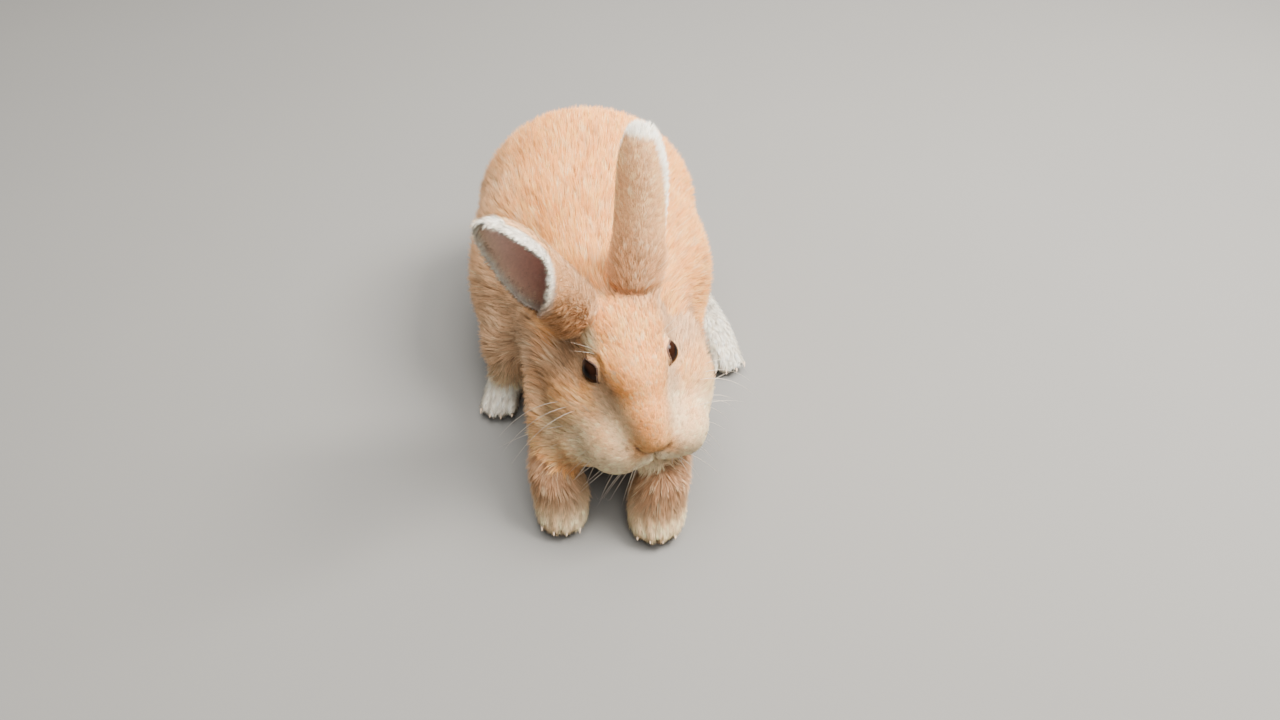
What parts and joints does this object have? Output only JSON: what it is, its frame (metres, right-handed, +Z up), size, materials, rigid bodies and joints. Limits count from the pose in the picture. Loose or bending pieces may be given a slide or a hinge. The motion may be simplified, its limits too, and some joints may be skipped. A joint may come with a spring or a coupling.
{
  "type": "rabbit",
  "caption": "Life-size crouching rabbit with a soft fawn coat, its head turned a little aside, one ear upright and one swung outwards.",
  "frame": {"origin": "floor point under the middle of the whole animal's box", "axes": "+Y from the nose towards the tail, +X to the animal's left, +Z up"},
  "size_m": [0.2206, 0.3702, 0.2469],
  "materials": {
    "fawn_fur": "soft fawn-orange fur",
    "cream_fur": "soft cream-white fur",
    "ear_fur": "short grey-tan fur over thin skin, pink inside",
    "nose_fur": "very short velvety fur",
    "dark_eye": "wet, glossy dark brown",
    "claw_horn": "pale translucent horn"
  },
  "bodies": {
    "root": {"head": "fawn_fur", "neck": "fawn_fur", "trunk": "fawn_fur", "haunch_left": "fawn_fur", "haunch_right": "fawn_fur", "foreleg_left": "fawn_fur", "foreleg_right": "fawn_fur", "jaw": "cream_fur", "forepaw_left": "cream_fur", "forepaw_right": "cream_fur", "hindfoot_left": "cream_fur", "hindfoot_right": "cream_fur", "tail": "cream_fur", "nose": "nose_fur", "ear_left": "ear_fur", "ear_right": "ear_fur", "eye_left": "dark_eye", "eye_right": "dark_eye", "foreclaw_left_1": "claw_horn", "foreclaw_left_2": "claw_horn", "foreclaw_left_3": "claw_horn", "foreclaw_left_4": "claw_horn", "foreclaw_right_1": "claw_horn", "foreclaw_right_2": "claw_horn", "foreclaw_right_3": "claw_horn", "foreclaw_right_4": "claw_horn", "hindclaw_left_1": "claw_horn", "hindclaw_left_2": "claw_horn", "hindclaw_left_3": "claw_horn", "hindclaw_left_4": "claw_horn", "hindclaw_right_1": "claw_horn", "hindclaw_right_2": "claw_horn", "hindclaw_right_3": "claw_horn", "hindclaw_right_4": "claw_horn"}
  },
  "joints": []
}
